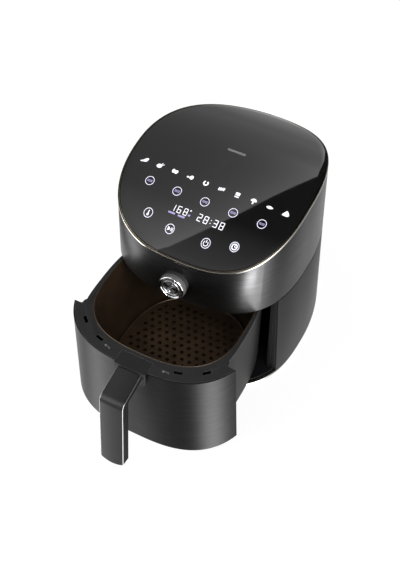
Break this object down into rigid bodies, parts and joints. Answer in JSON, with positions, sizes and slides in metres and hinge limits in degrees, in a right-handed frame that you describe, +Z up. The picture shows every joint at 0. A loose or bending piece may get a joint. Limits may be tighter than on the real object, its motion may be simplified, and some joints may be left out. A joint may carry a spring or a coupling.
{
  "type": "air fryer",
  "caption": "Countertop air fryer with a curved glass top, round control knob and pull-out drawer with basket and handle, drawer part way out.",
  "frame": {"origin": "on the table, under the middle of the whole object's box with the drawer at its rest position", "axes": "+Z up, -Y out of the front along the drawer's slide, +X to the right of someone facing the front"},
  "size_m": [0.2896, 0.5468, 0.3142],
  "materials": {
    "black_steel": "black stainless with a fine horizontal brush",
    "satin_black": "satin dark grey plastic",
    "matte_black": "matte black plastic",
    "black_glass": "glossy black printed glass",
    "champagne": "polished champagne trim",
    "chrome": "bright chrome",
    "spun_metal": "spun metal",
    "non_stick": "dark non-stick coating",
    "sheet_steel": "plain sheet steel",
    "dark_enamel": "dark heat-proof enamel",
    "heater_steel": "heat-darkened steel tube",
    "rubber": "black rubber",
    "silicone": "grey silicone",
    "circuit_board": "green board",
    "grey_plastic": "grey moulded plastic",
    "motor_steel": "zinc-plated can"
  },
  "bodies": {
    "housing": {"base_trim_ring": "champagne", "base_plate": "matte_black", "cavity_floor": "matte_black", "foot_front_left": "rubber", "foot_front_right": "rubber", "foot_rear_left": "rubber", "foot_rear_right": "rubber", "lower_housing": "satin_black", "jamb_left": "satin_black", "jamb_right": "satin_black", "cavity_liner": "dark_enamel", "rail_left": "grey_plastic", "rail_right": "grey_plastic", "safety_switch": "grey_plastic", "cord_gland": "rubber", "upper_housing": "black_steel", "top_trim_ring": "champagne", "top_glass": "black_glass", "top_cover": "matte_black", "deck_plate": "dark_enamel", "knob_collar": "satin_black", "rotary_encoder": "grey_plastic", "air_shroud": "sheet_steel", "temperature_probe": "sheet_steel", "thermal_fuse": "grey_plastic", "heating_element": "heater_steel", "motor_bracket": "sheet_steel", "fan_motor": "motor_steel", "control_board": "circuit_board", "display_module": "grey_plastic", "power_board": "circuit_board", "power_relay": "grey_plastic", "capacitor": "grey_plastic"},
    "rotor": {"motor_shaft": "sheet_steel", "convection_fan": "sheet_steel", "cooling_fan": "grey_plastic"},
    "knob": {"knob_shaft": "sheet_steel", "knob_barrel": "satin_black", "knob_bezel": "chrome", "knob_face": "spun_metal"},
    "drawer": {"pan": "satin_black", "basket": "non_stick", "drawer_rim": "matte_black", "drawer_front_panel": "black_steel", "drawer_front_shell": "matte_black", "handle_bracket": "matte_black", "handle_core": "matte_black", "handle_cover": "satin_black", "handle_trim_left": "chrome", "handle_trim_right": "chrome", "handle_screw_left": "sheet_steel", "handle_screw_right": "sheet_steel"},
    "crisper": {"crisper_plate": "non_stick", "plate_bumper_1": "silicone", "plate_bumper_2": "silicone", "plate_bumper_3": "silicone", "plate_bumper_4": "silicone"},
    "plunger": {"switch_plunger": "grey_plastic"}
  },
  "joints": [
    {"name": "drawer_slide", "type": "slide", "parent": "housing", "child": "drawer", "axis": [0, -1, 0], "range_m": [-0.131, 0.06]},
    {"name": "crisper_lift", "type": "slide", "parent": "drawer", "child": "crisper", "axis": [0, 0, 1], "range_m": [0, 0.1]},
    {"name": "knob_turn", "type": "hinge", "parent": "housing", "child": "knob", "pos_m": [0, -0.07226, 0.218], "axis": [0, -0.9945, 0.1045], "continuous": true},
    {"name": "fan_spin", "type": "hinge", "parent": "housing", "child": "rotor", "pos_m": [0, 0.0667, 0.2], "axis": [0, 0, 1], "continuous": true},
    {"name": "switch_press", "type": "slide", "parent": "housing", "child": "plunger", "axis": [0, 1, 0], "range_m": [0, 0.002], "stiffness_N_per_m": 150, "springref_m": -0.002}
  ]
}
